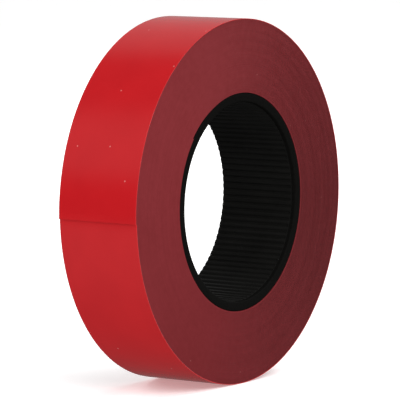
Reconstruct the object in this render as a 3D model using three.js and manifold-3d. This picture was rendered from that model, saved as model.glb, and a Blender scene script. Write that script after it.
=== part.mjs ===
// A roll of electrical tape: a ribbed plastic core, the tape wound on it, the outermost lap,
// and the free end of that lap, which peels away from the roll.
// Millimetres, +Z up. The roll stands on edge: its axis is Y, and the origin is its centre.

import * as THREE from 'three';
import { mergeVertices } from 'three/addons/utils/BufferGeometryUtils.js';
import Module from 'manifold-3d';

const wasm = await Module();
wasm.setup();

// Driving dimensions
const TAPE_WIDTH = 19;
const TAPE_THICKNESS = 0.15;
const ROLL_RADIUS = 38.2;

const CORE_RADIUS = 22.75;
const CORE_WIDTH = 18.8;
const LIP_BORE_RADIUS = 20.8;
const LIP_LENGTH = 0.9;
const BORE_RADIUS = 21.15;
const CORE_CHAMFER = 0.35;

const RIB_COUNT = 96;
const RIB_TOP_RADIUS = 20.8;
const RIB_BASE_WIDTH = 0.95;
const RIB_TOP_WIDTH = 0.5;
const RIB_ROOT_DEPTH = 0.4;

// The roll's outline has one flat for each facet, and a flat lies exactly at the bottom.
const FACETS = 96;
const FACET_ANGLE = 360 / FACETS;
const FREE_END_ANGLE = 181.875;

// The free end is a chain of short stiff lengths, each two facets long.
const END_LENGTHS = 4;
const FACETS_PER_LENGTH = 2;
const END_START = 360 - END_LENGTHS * FACETS_PER_LENGTH * FACET_ANGLE;

const LAP_CLEARANCE = 0.05;
const HINGE_GAP = 0.3;
const HALF_GAP_ANGLE = THREE.MathUtils.radToDeg(HINGE_GAP / 2 / ROLL_RADIUS);

const WOUND_INNER_RADIUS = CORE_RADIUS + LAP_CLEARANCE;

// Materials
const corePlastic = new THREE.MeshStandardMaterial({ color: 0x17171a, roughness: 0.5, metalness: 0 });
const tapeEdges = new THREE.MeshStandardMaterial({ color: 0x6b1f26, roughness: 0.75, metalness: 0 });
const tapeFilm = new THREE.MeshStandardMaterial({ color: 0xb81c22, roughness: 0.22, metalness: 0 });

// The outer radius of the outermost lap. The winding angle starts at the lap's beginning, under
// the free end, and the lap climbs by one thickness over a full turn.
function lapRadius(windingAngle) {
  return ROLL_RADIUS - TAPE_THICKNESS * (1 - windingAngle / 360);
}

// A point of a section across the roll's axis, as (x, z), at a winding angle in degrees.
function sectionPoint(radius, windingAngle) {
  const angle = THREE.MathUtils.degToRad(FREE_END_ANGLE + windingAngle);
  return new THREE.Vector2(radius * Math.cos(angle), radius * Math.sin(angle));
}

// Winding angles from start to end: both ends, and every facet corner between them.
function windingAngles(start, end) {
  const angles = [start];
  for (let k = 0; k <= FACETS; k += 1) {
    const corner = k * FACET_ANGLE;
    if (corner > start + 1e-6 && corner < end - 1e-6) {
      angles.push(corner);
    }
  }
  angles.push(end);
  return angles;
}

// Extrudes a section across the roll's axis to the given width, centred on the origin.
function extrudeAlongAxis(shape, width) {
  const geometry = new THREE.ExtrudeGeometry(shape, { depth: width, steps: 1, bevelEnabled: false });
  geometry.rotateX(Math.PI / 2);
  geometry.translate(0, width / 2, 0);
  return geometry;
}

// A length of the outermost lap, between two winding angles.
function lapLength(start, end) {
  const angles = windingAngles(start, end);
  const outside = angles.map((angle) => sectionPoint(lapRadius(angle), angle));
  const inside = angles.map((angle) => sectionPoint(lapRadius(angle) - TAPE_THICKNESS, angle));
  return extrudeAlongAxis(new THREE.Shape([...outside, ...inside.reverse()]), TAPE_WIDTH);
}

// All the laps under the outermost one. Their outline follows it, so it has one step in it.
function woundTape() {
  const depth = TAPE_THICKNESS + LAP_CLEARANCE;
  const outline = windingAngles(0, 360).map((angle) => sectionPoint(lapRadius(angle) - depth, angle));
  const shape = new THREE.Shape(outline);
  const hole = windingAngles(0, 360 - FACET_ANGLE).map((angle) => sectionPoint(WOUND_INNER_RADIUS, angle));
  shape.holes.push(new THREE.Path(hole));
  return extrudeAlongAxis(shape, TAPE_WIDTH);
}

function toSolid(geometry) {
  const bare = geometry.clone();
  bare.deleteAttribute('normal');
  bare.deleteAttribute('uv');
  const merged = mergeVertices(bare, 1e-5);
  return new wasm.Manifold(new wasm.Mesh({
    numProp: 3,
    vertProperties: new Float32Array(merged.attributes.position.array),
    triVerts: new Uint32Array(merged.index.array),
  }));
}

function toGeometry(solid) {
  const mesh = solid.getMesh();
  const geometry = new THREE.BufferGeometry();
  geometry.setAttribute('position', new THREE.BufferAttribute(mesh.vertProperties, 3));
  geometry.setIndex(new THREE.BufferAttribute(mesh.triVerts, 1));
  return geometry;
}

// The core's wall: a tube with a short smooth lip in the bore at the near end, and bevelled mouths.
function coreWall() {
  const near = -CORE_WIDTH / 2;
  const far = CORE_WIDTH / 2;
  const profile = [
    [LIP_BORE_RADIUS + CORE_CHAMFER, near],
    [CORE_RADIUS, near],
    [CORE_RADIUS, far],
    [BORE_RADIUS + CORE_CHAMFER, far],
    [BORE_RADIUS, far - CORE_CHAMFER],
    [BORE_RADIUS, near + LIP_LENGTH + CORE_CHAMFER],
    [LIP_BORE_RADIUS, near + LIP_LENGTH],
    [LIP_BORE_RADIUS, near + CORE_CHAMFER],
    [LIP_BORE_RADIUS + CORE_CHAMFER, near],
  ].map(([radius, y]) => new THREE.Vector2(radius, y));
  const facetStart = THREE.MathUtils.degToRad(FACET_ANGLE / 2);
  return new THREE.LatheGeometry(profile, FACETS, facetStart);
}

// One rib along the bore, on the +X side, rooted in the wall.
function rib() {
  const root = BORE_RADIUS + RIB_ROOT_DEPTH;
  const section = new THREE.Shape([
    new THREE.Vector2(RIB_TOP_RADIUS, -RIB_TOP_WIDTH / 2),
    new THREE.Vector2(root, -RIB_BASE_WIDTH / 2),
    new THREE.Vector2(root, RIB_BASE_WIDTH / 2),
    new THREE.Vector2(RIB_TOP_RADIUS, RIB_TOP_WIDTH / 2),
  ]);
  const start = -CORE_WIDTH / 2 + LIP_LENGTH / 2;
  const end = CORE_WIDTH / 2 - CORE_CHAMFER - RIB_ROOT_DEPTH;
  const geometry = extrudeAlongAxis(section, end - start);
  geometry.translate(0, (start + end) / 2, 0);
  return geometry;
}

function core() {
  const solids = [toSolid(coreWall())];
  for (let k = 0; k < RIB_COUNT; k += 1) {
    const turned = rib().rotateY((2 * Math.PI * k) / RIB_COUNT);
    solids.push(toSolid(turned));
  }
  return toGeometry(wasm.Manifold.union(solids));
}

const roll = new THREE.Group();

function addPart(name, geometry, material) {
  const mesh = new THREE.Mesh(geometry, material);
  mesh.name = name;
  roll.add(mesh);
}

addPart('core', core(), corePlastic);
addPart('wound_tape', woundTape(), tapeEdges);
addPart('outer_lap', lapLength(HALF_GAP_ANGLE, END_START - HALF_GAP_ANGLE), tapeFilm.clone());

for (let k = 0; k < END_LENGTHS; k += 1) {
  const start = END_START + k * FACETS_PER_LENGTH * FACET_ANGLE + HALF_GAP_ANGLE;
  const end = END_START + (k + 1) * FACETS_PER_LENGTH * FACET_ANGLE - HALF_GAP_ANGLE;
  addPart(`tape_end_${k + 1}`, lapLength(start, end), tapeFilm.clone());
}

export default roll;
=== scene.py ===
import math

import bpy
import numpy as np
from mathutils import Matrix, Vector


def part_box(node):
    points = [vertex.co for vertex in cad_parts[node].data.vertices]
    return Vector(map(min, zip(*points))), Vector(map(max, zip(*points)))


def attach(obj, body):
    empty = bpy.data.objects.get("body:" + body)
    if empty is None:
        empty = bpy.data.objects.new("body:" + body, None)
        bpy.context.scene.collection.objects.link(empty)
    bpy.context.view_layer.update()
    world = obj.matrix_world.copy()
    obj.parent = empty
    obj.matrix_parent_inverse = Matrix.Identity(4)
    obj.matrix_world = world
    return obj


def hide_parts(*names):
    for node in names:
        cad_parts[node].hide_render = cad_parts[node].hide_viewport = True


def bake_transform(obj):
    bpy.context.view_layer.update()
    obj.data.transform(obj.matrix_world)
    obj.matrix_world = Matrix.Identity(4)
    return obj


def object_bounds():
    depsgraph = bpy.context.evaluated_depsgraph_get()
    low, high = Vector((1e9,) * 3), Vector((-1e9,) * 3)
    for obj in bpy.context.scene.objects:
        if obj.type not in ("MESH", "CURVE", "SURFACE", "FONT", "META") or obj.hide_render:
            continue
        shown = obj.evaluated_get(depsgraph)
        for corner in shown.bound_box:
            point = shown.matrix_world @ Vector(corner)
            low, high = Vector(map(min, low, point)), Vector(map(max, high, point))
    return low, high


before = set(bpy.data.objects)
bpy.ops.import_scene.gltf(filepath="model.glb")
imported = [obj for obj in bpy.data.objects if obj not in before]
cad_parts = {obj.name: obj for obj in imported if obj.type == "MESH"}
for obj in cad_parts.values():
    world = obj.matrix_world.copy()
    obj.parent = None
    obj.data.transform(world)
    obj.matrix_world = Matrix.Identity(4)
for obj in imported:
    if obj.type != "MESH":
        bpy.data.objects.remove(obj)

cad_box = [list(corner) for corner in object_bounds()]

# The object is a roll of electrical tape standing on edge. Its axis is Y and its centre is the
# origin. Lengths with a name are in millimetres, unless a comment says metres. Bump distances and
# the camera's clipping are in metres, as Blender takes them.
MM = 0.001

TAPE_WIDTH = (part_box("wound_tape")[1].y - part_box("wound_tape")[0].y) / MM
CORE_WIDTH = (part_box("core")[1].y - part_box("core")[0].y) / MM
CORE_RADIUS = 22.75
ROLL_RADIUS = 38.2

# The strip starts on the core at one angle, winds round it, and ends at another. Angles are in
# degrees from +X towards +Z, and the strip winds towards increasing angles.
START_ANGLE = 141.0
FREE_END_ANGLE = 181.875
FULL_TURNS = 100
TURNS = FULL_TURNS + (FREE_END_ANGLE - START_ANGLE) / 360
CORE_GAP = 0.05
WOUND_INNER_RADIUS = CORE_RADIUS + CORE_GAP
FOLD_THICKNESS = 0.3
# the share of a turn over which a lap steps up, and the turns after which it climbs evenly
STEP_SHARE = 0.08
EVEN_AFTER = 30
# the strip's wander along the axis, as waves: size, radians a turn, and phase
WANDER = ((0.014, 0.21, 1.0), (0.007, 0.53, 2.2))
PITCH = (ROLL_RADIUS - WOUND_INNER_RADIUS - FOLD_THICKNESS) / TURNS

# The free end: where its hinges are, as winding angles of the outermost lap in degrees.
HINGES = (330.0, 337.5, 345.0, 352.5)
HALF_LENGTH = (HINGES[1] - HINGES[0]) / 2


# ---------------------------------------------------------------- the winding

def smooth(t):
    t = np.clip(t, 0, 1)
    return t * t * (3 - 2 * t)


def step_up(part):
    """How far a lap has stepped up, from 0 to 1, at a part of its turn."""
    return smooth((part - 1 + STEP_SHARE) / STEP_SHARE)


def winding_radius(turn):
    """The radius of the strip's inner face after so many turns from its start on the core."""
    turn = np.asarray(turn, float)
    whole = np.floor(turn)
    part = turn - whole
    # near the core each lap is round and steps up over the folded start of the strip
    step = step_up(part)
    evenly = smooth(turn / EVEN_AFTER)
    climb = step + (part - step) * evenly
    fold = FOLD_THICKNESS * np.where(turn >= 1, 1, step_up(turn))
    return WOUND_INNER_RADIUS + fold + PITCH * np.where(turn >= 1, whole - 1 + climb, 0)


def wander(turn):
    """How far the strip strays along the axis after so many turns."""
    turn = np.asarray(turn, float)
    return sum(size * np.sin(turn * rate + phase) for size, rate, phase in WANDER)


def outer_turn(winding_angle):
    """Turns from the strip's start, at a winding angle of the outermost lap."""
    return TURNS - 1 + np.asarray(winding_angle, float) / 360


def section(radius, angle):
    """(x, z) at an angle in degrees."""
    turned = np.radians(angle)
    return radius * np.cos(turned), radius * np.sin(turned)


# ---------------------------------------------------------------- mesh making

def make_piece(name, points, faces, materials, material_of_face, sharp_over=30.0):
    """A mesh piece from points in millimetres, smooth but for edges over an angle in degrees."""
    mesh = bpy.data.meshes.new(name)
    mesh.from_pydata((np.asarray(points, float) * MM).tolist(), [], faces)
    for material in materials:
        mesh.materials.append(material)
    mesh.polygons.foreach_set("material_index", np.asarray(material_of_face, np.int32))
    mesh.validate()
    mesh.shade_smooth()
    mesh.set_sharp_from_angle(angle=math.radians(sharp_over))
    mesh.update()
    piece = bpy.data.objects.new(name, mesh)
    bpy.context.scene.collection.objects.link(piece)
    return piece


def grid_faces(count, rows, closed_rows):
    """Quads of a tube: rows of rings, where the vertex at k on a ring is k + row * count."""
    faces = []
    for row in range(rows if closed_rows else rows - 1):
        this = row * count
        that = (row + 1) % rows * count
        for k in range(count):
            n = (k + 1) % count
            faces.append((this + k, this + n, that + n, that + k))
    return faces


# ---------------------------------------------------------------- materials

def new_material(name):
    material = bpy.data.materials.new(name)
    material.use_nodes = True
    nodes = material.node_tree.nodes
    nodes.clear()
    output = nodes.new("ShaderNodeOutputMaterial")
    shader = nodes.new("ShaderNodeBsdfPrincipled")
    material.node_tree.links.new(shader.outputs["BSDF"], output.inputs["Surface"])
    return material, shader


class Nodes:
    """Short calls for adding nodes to one material."""

    def __init__(self, material):
        self.tree = material.node_tree

    def link(self, source, target):
        self.tree.links.new(source, target)

    def put(self, socket, value):
        if isinstance(value, bpy.types.NodeSocket):
            self.link(value, socket)
        else:
            socket.default_value = value

    def math(self, operation, a, b=0.0):
        node = self.tree.nodes.new("ShaderNodeMath")
        node.operation = operation
        self.put(node.inputs[0], a)
        self.put(node.inputs[1], b)
        return node.outputs[0]

    def combine(self, x, y, z):
        node = self.tree.nodes.new("ShaderNodeCombineXYZ")
        for socket, value in zip(node.inputs, (x, y, z)):
            self.put(socket, value)
        return node.outputs[0]

    def object_point(self):
        node = self.tree.nodes.new("ShaderNodeTexCoord")
        return node.outputs["Object"]

    def separate(self, vector):
        node = self.tree.nodes.new("ShaderNodeSeparateXYZ")
        self.link(vector, node.inputs[0])
        return node.outputs

    def noise(self, vector, scale, detail=3.0, roughness=0.5):
        node = self.tree.nodes.new("ShaderNodeTexNoise")
        self.link(vector, node.inputs["Vector"])
        node.inputs["Scale"].default_value = scale
        node.inputs["Detail"].default_value = detail
        node.inputs["Roughness"].default_value = roughness
        return node.outputs["Fac"]

    def voronoi(self, vector, scale):
        node = self.tree.nodes.new("ShaderNodeTexVoronoi")
        node.voronoi_dimensions = "2D"
        self.link(vector, node.inputs["Vector"])
        node.inputs["Scale"].default_value = scale
        return node.outputs["Distance"], node.outputs["Color"]

    def ramp(self, value, low, high, to_low, to_high):
        node = self.tree.nodes.new("ShaderNodeMapRange")
        self.link(value, node.inputs["Value"])
        node.inputs["From Min"].default_value = low
        node.inputs["From Max"].default_value = high
        node.inputs["To Min"].default_value = to_low
        node.inputs["To Max"].default_value = to_high
        return node.outputs["Result"]

    def mix(self, factor, a, b):
        node = self.tree.nodes.new("ShaderNodeMix")
        node.data_type = "RGBA"
        self.put(node.inputs["Factor"], factor)
        self.put(node.inputs["A"], (*a, 1) if isinstance(a, tuple) else a)
        self.put(node.inputs["B"], (*b, 1) if isinstance(b, tuple) else b)
        return node.outputs["Result"]

    def mix_value(self, factor, a, b):
        node = self.tree.nodes.new("ShaderNodeMix")
        self.put(node.inputs["Factor"], factor)
        self.put(node.inputs["A"], a)
        self.put(node.inputs["B"], b)
        return node.outputs["Result"]

    def curve(self, value, points):
        """A value from 0 to 1 looked up on a line through points."""
        node = self.tree.nodes.new("ShaderNodeFloatCurve")
        line = node.mapping.curves[0]
        line.points[0].location = points[0]
        line.points[1].location = points[-1]
        for point in points[1:-1]:
            line.points.new(*point)
        for point in line.points:
            point.handle_type = "AUTO_CLAMPED"
        node.mapping.update()
        self.link(value, node.inputs["Value"])
        return node.outputs["Value"]

    def bump(self, height, distance, normal=None):
        node = self.tree.nodes.new("ShaderNodeBump")
        node.inputs["Distance"].default_value = distance
        self.link(height, node.inputs["Height"])
        if normal is not None:
            self.link(normal, node.inputs["Normal"])
        return node.outputs["Normal"]

    def round_the_roll(self):
        """The point unrolled, in metres: along the strip, across it, and the radius."""
        x, y, z = self.separate(self.object_point())
        angle = self.math("ARCTAN2", z, x)
        squares = self.math("ADD", self.math("MULTIPLY", x, x), self.math("MULTIPLY", z, z))
        radius = self.math("SQRT", squares)
        return self.math("MULTIPLY", angle, ROLL_RADIUS * MM), y, radius


def film_material():
    """Glossy calendered PVC: faint lines along the strip, soft waviness, and specks of dust."""
    material, shader = new_material("tape_film")
    n = Nodes(material)
    along, across, _ = n.round_the_roll()
    point = n.combine(along, across, 0.0)
    lines = n.noise(n.combine(n.math("MULTIPLY", along, 0.04), across, 0.0), 2600, 2.0)
    cloud = n.noise(point, 120, 3.0)
    tone = n.mix(n.ramp(cloud, 0.3, 0.7, 0.0, 1.0), (0.505, 0.0110, 0.0150), (0.537, 0.0125, 0.0165))
    spot, pick = n.voronoi(point, 150)
    chosen = n.math("GREATER_THAN", n.separate(pick)[0], 0.82)
    speck = n.math("MULTIPLY", n.ramp(spot, 0.018, 0.030, 1.0, 0.0), chosen)
    speck = n.math("MULTIPLY", speck, 0.55)
    n.link(n.mix(speck, tone, (0.80, 0.30, 0.28)), shader.inputs["Base Color"])
    rough = n.ramp(n.noise(point, 900, 3.0), 0.3, 0.7, 0.13, 0.19)
    n.link(rough, shader.inputs["Roughness"])
    shader.inputs["IOR"].default_value = 1.5
    soft = n.bump(n.noise(point, 260, 2.0), 0.00002)
    fine = n.bump(lines, 0.000003, soft)
    n.link(n.bump(speck, 0.00005, fine), shader.inputs["Normal"])
    return material


def edge_material():
    """The side of the roll: the slit edges of all the laps, matt and darker than the film."""
    material, shader = new_material("tape_edges")
    n = Nodes(material)
    along, across, radius = n.round_the_roll()
    turns = n.math("ADD", n.math("DIVIDE", radius, PITCH * MM),
                   n.math("DIVIDE", along, -2 * math.pi * ROLL_RADIUS * MM))
    rings = n.noise(n.combine(turns, n.math("MULTIPLY", along, 14.0), 0.0), 0.9, 2.0, 0.6)
    mottle = n.noise(n.object_point(), 900, 4.0, 0.6)
    broad = n.noise(n.object_point(), 60, 2.0)
    dark = (0.1610, 0.0190, 0.0218)
    light = (0.1978, 0.0247, 0.0293)
    tone = n.mix(n.ramp(rings, 0.3, 0.7, 0.0, 1.0), dark, light)
    tone = n.mix(n.ramp(mottle, 0.35, 0.75, 0.0, 0.5), tone, (0.1437, 0.0167, 0.0190))
    tone = n.mix(n.ramp(broad, 0.35, 0.65, 0.0, 0.25), tone, (0.2070, 0.0270, 0.0328))
    x, _, z = n.separate(n.object_point())
    spot, pick = n.voronoi(n.combine(x, z, 0.0), 160)
    chosen = n.math("GREATER_THAN", n.separate(pick)[0], 0.90)
    speck = n.math("MULTIPLY", n.ramp(spot, 0.015, 0.026, 0.6, 0.0), chosen)
    n.link(n.mix(speck, tone, (0.42, 0.16, 0.15)), shader.inputs["Base Color"])
    n.link(n.ramp(mottle, 0.3, 0.7, 0.55, 0.72), shader.inputs["Roughness"])
    shader.inputs["Specular IOR Level"].default_value = 0.04
    n.link(n.bump(mottle, 0.00002), shader.inputs["Normal"])
    return material


def glue_line_and_crevice_shade_material():
    """The narrow line of adhesive between one lap's edge and the next, its tones far darker than the
    adhesive's own as painted shade in the crevice between the laps.
    """
    material, shader = new_material("glue_line_painted_crevice_shade")
    n = Nodes(material)
    patches = n.noise(n.object_point(), 1500, 3.0)
    tone = n.mix(n.ramp(patches, 0.35, 0.65, 0.0, 1.0), (0.0150, 0.0022, 0.0027), (0.0300, 0.0040, 0.0050))
    n.link(tone, shader.inputs["Base Color"])
    n.link(n.ramp(patches, 0.3, 0.7, 0.6, 0.8), shader.inputs["Roughness"])
    shader.inputs["Specular IOR Level"].default_value = 0.2
    return material


def adhesive_material():
    """The inner face of the strip: a thin layer of tacky rubber on the film."""
    material, shader = new_material("tape_adhesive")
    n = Nodes(material)
    along, across, _ = n.round_the_roll()
    point = n.combine(along, across, 0.0)
    patches = n.noise(point, 700, 4.0, 0.6)
    tone = n.mix(n.ramp(patches, 0.35, 0.65, 0.0, 1.0), (0.230, 0.0160, 0.0190), (0.300, 0.0260, 0.0290))
    n.link(tone, shader.inputs["Base Color"])
    n.link(n.ramp(patches, 0.3, 0.7, 0.34, 0.55), shader.inputs["Roughness"])
    n.link(n.bump(patches, 0.00003), shader.inputs["Normal"])
    return material


def core_material():
    """Black moulded polypropylene with a faint spark-eroded grain."""
    material, shader = new_material("core_plastic")
    n = Nodes(material)
    grain = n.noise(n.object_point(), 2400, 3.0, 0.6)
    scuffs = n.noise(n.object_point(), 170, 4.0, 0.6)
    tone = n.mix(n.ramp(scuffs, 0.4, 0.75, 0.0, 1.0), (0.0066, 0.0065, 0.0060), (0.0084, 0.0082, 0.0075))
    n.link(tone, shader.inputs["Base Color"])
    n.link(n.ramp(scuffs, 0.3, 0.7, 0.30, 0.42), shader.inputs["Roughness"])
    shader.inputs["Specular IOR Level"].default_value = 0.07
    n.link(n.bump(grain, 0.000012), shader.inputs["Normal"])
    return material


def core_end_shaded_material():
    """The ends, lip and outside of the core: the same plastic, matt, with its base colour about half the
    bore's as painted shade.
    """
    material, shader = new_material("core_end_painted_shade")
    n = Nodes(material)
    grain = n.noise(n.object_point(), 1800, 3.0, 0.6)
    tone = n.mix(n.ramp(grain, 0.35, 0.65, 0.0, 1.0), (0.0034, 0.0033, 0.0030), (0.0048, 0.0047, 0.0043))
    n.link(tone, shader.inputs["Base Color"])
    n.link(n.ramp(grain, 0.3, 0.7, 0.45, 0.6), shader.inputs["Roughness"])
    shader.inputs["Specular IOR Level"].default_value = 0.01
    n.link(n.bump(grain, 0.00001), shader.inputs["Normal"])
    return material


def floor_material():
    material, shader = new_material("pale_floor")
    shader.inputs["Base Color"].default_value = (0.94, 0.94, 0.94, 1)
    shader.inputs["Emission Color"].default_value = (1, 1, 1, 1)
    shader.inputs["Emission Strength"].default_value = 0.25
    shader.inputs["Roughness"].default_value = 0.9
    return material


# ---------------------------------------------------------------- the core

RIB_COUNT = 96
RIB_HEIGHT = 0.33
RIB_STEPS = 12
# the share of one rib's pitch over which it rises, and again over which it falls
RIB_FLANK = 0.34
LIP_LENGTH = 0.9
LIP_RADIUS = 20.8
VALLEY_RADIUS = 21.15
MOUTH_ROUND = 0.25
LIP_RAMP = 0.5
FAR_CLEAR = 0.6
CORE_CHAMFER = 0.12

# The far mouth: how far in from the end, how far out from the valley, and the share of the ribs.
FAR_MOUTH = ((0.45, 0.0, 1.0), (0.22, 0.04, 0.8), (0.06, 0.14, 0.45), (0.0, 0.34, 0.1))

# The outside of the core where the tape sits on it, which starts this far in from each end.
SEAT_RADIUS = 22.812
SEAT_INSET = 1.5
SEAT_RAMP = 0.2


def rib_shape(part):
    """How far a rib stands in from the valley, from 0 to 1, at a part of one rib's pitch."""
    return smooth((0.5 - np.abs(part - 0.5)) / RIB_FLANK)


def near_mouth():
    """Round the near mouth and along the lip: (y, radius without ribs, share of the ribs)."""
    end = -CORE_WIDTH / 2
    rows = []
    for turn in np.radians((90, 67.5, 45, 22.5, 0)):
        back = MOUTH_ROUND * (1 - math.sin(turn))
        rows.append((end + back, LIP_RADIUS + MOUTH_ROUND * (1 - math.cos(turn)), 0.0))
    return rows + [(end + LIP_LENGTH, LIP_RADIUS, 0.0)]


def ribbed_bore():
    """From the lip to the far end, in the same form as near_mouth."""
    lip_end = -CORE_WIDTH / 2 + LIP_LENGTH
    rows = []
    for part in (0.25, 0.5, 0.75, 1.0):
        drop = float(smooth(part))
        rows.append((lip_end + LIP_RAMP * part, LIP_RADIUS + (VALLEY_RADIUS - LIP_RADIUS) * drop, drop))
    run = CORE_WIDTH - LIP_LENGTH - LIP_RAMP - FAR_CLEAR
    for part in (0.25, 0.5, 0.75, 0.985):
        rows.append((lip_end + LIP_RAMP + run * part, VALLEY_RADIUS, 1.0))
    for back, outward, share in FAR_MOUTH:
        rows.append((CORE_WIDTH / 2 - back, VALLEY_RADIUS + outward, share))
    return rows


def core_outside(seat):
    """Across the far end and back along the outside to the near end."""
    half = CORE_WIDTH / 2
    flank = half - SEAT_INSET
    return [
        (half, CORE_RADIUS - CORE_CHAMFER, 0.0),
        (half - CORE_CHAMFER, CORE_RADIUS, 0.0),
        (flank, CORE_RADIUS, 0.0),
        (flank - SEAT_RAMP, seat, 0.0),
        (SEAT_RAMP - flank, seat, 0.0),
        (-flank, CORE_RADIUS, 0.0),
        (CORE_CHAMFER - half, CORE_RADIUS, 0.0),
        (-half, CORE_RADIUS - CORE_CHAMFER, 0.0),
    ]


def core_moulding(plastic, matt_and_shaded):
    """The core: a round bored tube, with a rounded rib along the bore every few degrees."""
    count = RIB_COUNT * RIB_STEPS
    angle = np.arange(count) * 360 / count
    rib = rib_shape(np.arange(count) / RIB_STEPS % 1)
    # the tape sits tight on the core but for the channel beside its folded start, which is blind
    seat = SEAT_RADIUS + FOLD_THICKNESS * step_up((angle - START_ANGLE) / 360 % 1)
    mouth = near_mouth()
    bore = ribbed_bore()
    profile = mouth + bore + core_outside(seat)
    rows = []
    for y, bare_radius, share in profile:
        x, z = section(bare_radius - share * RIB_HEIGHT * rib, angle)
        rows.append(np.stack([x, np.full(count, y), z], axis=1))
    faces = grid_faces(count, len(rows), closed_rows=True)
    bore_start = len(mouth) - 1
    bore_end = bore_start + len(bore)
    # the bore takes the plastic; the ends, lip and outside take the same plastic painted darker as shade
    kinds = np.repeat([0 if bore_start <= k < bore_end else 1 for k in range(len(rows))], count)
    points = np.concatenate(rows)
    piece = make_piece("core_moulding", points, faces, [plastic, matt_and_shaded], kinds, sharp_over=40.0)
    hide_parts("core")
    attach(piece, "roll")


# ---------------------------------------------------------------- the wound tape

COLUMNS = 208
EDGE_SLOPE = 0.032
LAP_GAP = 0.012
SIDE_INSET = 0.03

# The rims of a lap, and the materials of the faces in the order that the piece takes them.
INNER = 0
OUTER = 1
EDGE_FACE = 0
FILM_FACE = 1
# the faces between laps: the adhesive painted much darker, as shade in the crevice
GLUE_AND_SHADE_FACE = 2


def wound_columns():
    """Angles past the strip's start at which the side is cut, with one at the free end."""
    free_end = FREE_END_ANGLE - START_ANGLE
    regular = np.linspace(0, 360, COLUMNS + 1)
    nearest = int(np.argmin(np.abs(regular - free_end)))
    regular[nearest] = free_end
    return regular, nearest


class WoundSolid:
    """The faces of the wound laps. A place on them is (column, lap, rim), on the side -1 or 1."""

    def __init__(self):
        self.columns, self.cut = wound_columns()
        self.found = {}
        self.points = []
        self.faces = []
        self.kinds = []

    def laps(self, column):
        """How many laps stand on a column: one fewer past the free end."""
        return FULL_TURNS if column < self.cut else FULL_TURNS - 1

    def point(self, side, column, lap, rim):
        turn = lap + self.columns[column] / 360
        gap = LAP_GAP / 2 * (1 if rim == INNER else -1)
        radius = float(winding_radius(turn + rim)) + gap
        x, z = section(radius, START_ANGLE + self.columns[column])
        reach = TAPE_WIDTH / 2 - SIDE_INSET - (EDGE_SLOPE if rim == OUTER else 0)
        return float(x), side * reach + float(wander(turn)), float(z)

    def vertex(self, side, column, lap, rim):
        """The number of the vertex there. After the last column comes the first of the next lap."""
        if column == COLUMNS:
            return self.vertex(side, 0, lap + 1, rim)
        place = (side, column, lap, rim)
        if place not in self.found:
            self.found[place] = len(self.points)
            self.points.append(self.point(*place))
        return self.found[place]

    def add(self, kind, corners, turned_over=False):
        face = tuple(self.vertex(*corner) for corner in corners)
        self.faces.append(face[::-1] if turned_over else face)
        self.kinds.append(kind)

    def add_on_side(self, side, kind, column, low, high):
        """A quad one column wide on a side, from one (lap, rim) up to another."""
        corners = [(side, column, *low), (side, column + 1, *low),
                   (side, column + 1, *high), (side, column, *high)]
        self.add(kind, corners, turned_over=side < 0)

    def add_across(self, kind, first, second):
        """A quad right across the roll, from one place to another."""
        self.add(kind, [(-1, *first), (1, *first), (1, *second), (-1, *second)])


def add_sides(solid):
    for side in (-1, 1):
        for column in range(COLUMNS):
            laps = solid.laps(column)
            for lap in range(laps):
                solid.add_on_side(side, EDGE_FACE, column, (lap, INNER), (lap, OUTER))
                if lap + 1 < laps:
                    # the face between one lap and the next takes the adhesive darkened with painted
                    # crevice shade
                    solid.add_on_side(side, GLUE_AND_SHADE_FACE, column, (lap, OUTER), (lap + 1, INNER))


def add_round_faces(solid):
    for column in range(COLUMNS):
        top = solid.laps(column) - 1
        solid.add_across(EDGE_FACE, (column + 1, 0, INNER), (column, 0, INNER))
        solid.add_across(FILM_FACE, (column, top, OUTER), (column + 1, top, OUTER))


def add_ends(solid):
    """The folded start of the strip, and the step where the outermost lap begins."""
    cut = solid.cut
    top = FULL_TURNS - 1
    for low, high in (((0, 0, INNER), (0, 0, OUTER)), ((0, 0, OUTER), (0, 1, INNER))):
        solid.add(EDGE_FACE, [(1, *low), (1, *high), (-1, *high), (-1, *low)])
    solid.add_across(FILM_FACE, (cut, top, INNER), (cut, top - 1, OUTER))
    solid.add_across(FILM_FACE, (cut, top, OUTER), (cut, top, INNER))


def wound_laps(edges, film, glue_and_shade):
    """All the laps but the outermost: each lap's slit edge is its own sloped ledge on the sides."""
    solid = WoundSolid()
    add_sides(solid)
    add_round_faces(solid)
    add_ends(solid)
    # the third material is the adhesive darkened with painted crevice shade
    materials = [edges, film, glue_and_shade]
    piece = make_piece("wound_laps", solid.points, solid.faces, materials, solid.kinds, sharp_over=20.0)
    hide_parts("wound_tape")
    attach(piece, "roll")


# ---------------------------------------------------------------- the outermost lap

EDGE_ROUND = 0.05
SHOULDER = 0.5
SHOULDER_DROP = 0.012
END_LIFT = 0.12
# clear of the laps under it, and in from the edges on the adhesive's side
FILM_GAP = 0.004
ADHESIVE_INSET = 0.02
# degrees of winding angle: where the lap starts, and between one ring of points and the next
LAP_START = 0.02
RING_STEP = 0.5


def strip_section():
    """One side to the other and back: (across the strip, share of its thickness)."""
    half = TAPE_WIDTH / 2
    outside = [(half - EDGE_ROUND * (1 - math.sin(a)), 1 - EDGE_ROUND * (1 - math.cos(a)) / PITCH)
               for a in np.radians((90, 60, 30, 0))]
    outside += [(half - SHOULDER * part, 1.0) for part in (0.3, 0.6, 1.0)]
    inside = [(half - ADHESIVE_INSET, 0.0)]
    outline = [(-y, share) for y, share in outside] + [(y, share) for y, share in reversed(outside)]
    return outline + inside + [(-y, share) for y, share in reversed(inside)]


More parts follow.
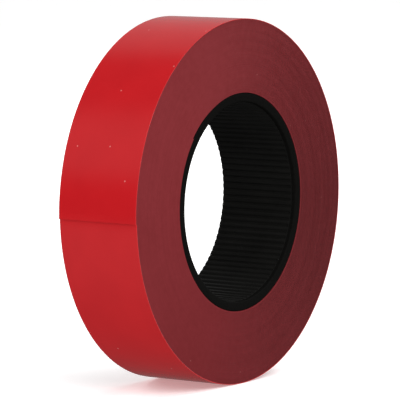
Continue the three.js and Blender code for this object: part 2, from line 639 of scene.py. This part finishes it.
def film_strip(name, start, end, film, adhesive):
    """A length of the outermost lap between two winding angles, as a closed thin solid."""
    outline = strip_section()
    steps = max(2, int(round((end - start) / RING_STEP)))
    angles = np.linspace(start, end, steps + 1)
    turns = outer_turn(angles)
    inner = winding_radius(turns)
    stray = wander(turns)
    lift = END_LIFT * smooth((angles - HINGES[1]) / (360 - HINGES[1])) ** 2
    rows = []
    for k, angle in enumerate(angles):
        ring = []
        for y, share in outline:
            drop = SHOULDER_DROP * float(smooth(1 - (TAPE_WIDTH / 2 - abs(y)) / SHOULDER)) * share
            radius = inner[k] + FILM_GAP + (PITCH - 2 * FILM_GAP) * share - drop + lift[k]
            x, z = section(radius, FREE_END_ANGLE + angle)
            ring.append((float(x), y + float(stray[k]), float(z)))
        rows.append(ring)
    count = len(outline)
    points = [point for ring in rows for point in ring]
    faces = grid_faces(count, len(rows), closed_rows=False)
    kinds = []
    for _ in range(len(rows) - 1):
        for k in range(count):
            both_inside = outline[k][1] == 0.0 and outline[(k + 1) % count][1] == 0.0
            kinds.append(1 if both_inside else 0)
    last = (len(rows) - 1) * count
    faces.append(tuple(reversed(range(count))))
    faces.append(tuple(last + k for k in range(count)))
    kinds += [0, 0]
    return make_piece(name, points, faces, [film, adhesive], kinds)


def outermost_lap(film, adhesive):
    """The lap that shows, and the free end as one strip cut where each length is stiffest."""
    first_cut = HINGES[0] - HALF_LENGTH
    lap = film_strip("outer_film", LAP_START, first_cut, film, adhesive)
    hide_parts("outer_lap")
    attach(lap, "roll")
    for k, hinge in enumerate(HINGES):
        end = 360.0 if k == len(HINGES) - 1 else hinge + HALF_LENGTH
        piece = film_strip(f"free_end_{k + 1}", hinge - HALF_LENGTH, end, film, adhesive)
        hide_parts(f"tape_end_{k + 1}")
        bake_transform(piece)


# ---------------------------------------------------------------- the studio

CAMERA_AZIMUTH = -55.94
CAMERA_ELEVATION = 5.89
CAMERA_DISTANCE = 727.1
CAMERA_LENS = 312.6
AIM_RIGHT = -0.860
AIM_UP = -0.108


def add_camera():
    azimuth = math.radians(CAMERA_AZIMUTH)
    elevation = math.radians(CAMERA_ELEVATION)
    back = Vector((math.sin(azimuth) * math.cos(elevation),
                   -math.cos(azimuth) * math.cos(elevation), math.sin(elevation)))
    right = Vector((math.cos(azimuth), math.sin(azimuth), 0))
    up = back.cross(right)
    aim = (right * AIM_RIGHT + up * AIM_UP) * MM
    place = back * CAMERA_DISTANCE * MM
    data = bpy.data.cameras.new("camera")
    data.lens = CAMERA_LENS
    data.sensor_width = 36
    data.clip_start = 0.01
    data.clip_end = 50
    camera = bpy.data.objects.new("camera", data)
    camera.rotation_euler = (aim - place).to_track_quat("-Z", "Y").to_euler()
    camera.location = place
    bpy.context.scene.collection.objects.link(camera)
    bpy.context.scene.camera = camera


# The floor, in metres: half its side, and how far it lies under the roll.
FLOOR_HALF = 1.6
FLOOR_GAP = 0.00002


def add_floor():
    half = FLOOR_HALF
    low = cad_box[0][2] - FLOOR_GAP
    mesh = bpy.data.meshes.new("floor")
    mesh.from_pydata([(-half, -half, low), (half, -half, low), (half, half, low), (-half, half, low)],
                     [], [(0, 1, 2, 3)])
    mesh.materials.append(floor_material())
    floor = bpy.data.objects.new("floor", mesh)
    bpy.context.scene.collection.objects.link(floor)
    # the floor is there for the eye: the world below the horizon lights the roll instead
    floor.visible_glossy = False
    floor.visible_diffuse = False
    floor.visible_shadow = False


# Soft boxes that face the roll: name, direction, distance, width and height in metres, power in watts.
SOFT_BOXES = (
    ("front_left_high", (-0.4, -0.75, 0.6), 1.0, 0.6, 0.6, 4.9),
    ("left_low", (-0.9, -0.2, -0.5), 1.0, 0.6, 0.4, 3.6),
    ("far_side", (0.15, 1.0, 0.25), 1.0, 0.7, 0.7, 12.0),
)

# What stands behind the roll, as an arch over it: degrees from +X over the top, and radiance.
ARCH = (
    # a pale wall on the right
    (0, 0.34), (60, 0.32),
    # the dark room over the top
    (88, 0.05), (105, 0.05),
    # a pale wall on the left
    (138, 0.33), (152, 0.33),
    # a dark gap over the table's edge
    (173, 0.0), (188, 0.0),
    # the table, falling away into shade
    (197, 0.29), (270, 0.12), (320, 0.10),
    (360, 0.34),
)

# The light from the camera's side, by where it comes from.
HIGH_LEFT = 0.7
HIGH_RIGHT = 1.63
LOW_LEFT = 0.87
LOW_RIGHT = 0.05
BACKDROP_RADIANCE = 1.0


def add_soft_box(name, direction, distance, width, height, power):
    data = bpy.data.lights.new(name, "AREA")
    data.shape = "RECTANGLE"
    data.size = width
    data.size_y = height
    data.energy = power
    light = bpy.data.objects.new(name, data)
    # of the soft boxes, only the one in front shows in the gloss
    light.visible_glossy = direction[1] < -0.3
    light.location = Vector(direction).normalized() * distance
    light.rotation_euler = Vector(direction).to_track_quat("Z", "Y").to_euler()
    bpy.context.scene.collection.objects.link(light)


def add_world():
    """A white backdrop, and for everything it lights, an arch of soft greys behind the roll."""
    world = bpy.data.worlds.new("studio")
    bpy.context.scene.world = world
    world.use_nodes = True
    n = Nodes(world)
    background = world.node_tree.nodes["Background"]
    background.inputs["Color"].default_value = (1, 1, 1, 1)
    direction = n.tree.nodes.new("ShaderNodeTexCoord").outputs["Generated"]
    x, y, z = n.separate(direction)
    turn = n.math("DIVIDE", n.math("ARCTAN2", z, x), 2 * math.pi)
    turn = n.math("FRACT", n.math("ADD", turn, 1.0))
    low = n.curve(turn, [(degrees / 360, radiance) for degrees, radiance in ARCH])
    behind = n.ramp(y, 0.05, 0.35, 0.0, 1.0)
    rightward = n.ramp(x, -0.6, 0.6, 0.0, 1.0)
    upward = n.ramp(z, -0.25, 0.35, 0.0, 1.0)
    front = n.mix_value(upward, n.mix_value(rightward, LOW_LEFT, LOW_RIGHT),
                        n.mix_value(rightward, HIGH_LEFT, HIGH_RIGHT))
    seen = n.mix_value(behind, front, low)
    camera_ray = n.tree.nodes.new("ShaderNodeLightPath").outputs["Is Camera Ray"]
    n.link(n.mix_value(camera_ray, seen, BACKDROP_RADIANCE), background.inputs["Strength"])


add_camera()
core_moulding(core_material(), core_end_shaded_material())
film = film_material()
# the line between laps is painted far darker than the adhesive, as crevice shade
wound_laps(edge_material(), film, glue_line_and_crevice_shade_material())
outermost_lap(film, adhesive_material())
add_floor()
add_world()
for soft_box in SOFT_BOXES:
    add_soft_box(*soft_box)
bpy.context.scene.view_settings.view_transform = "Standard"
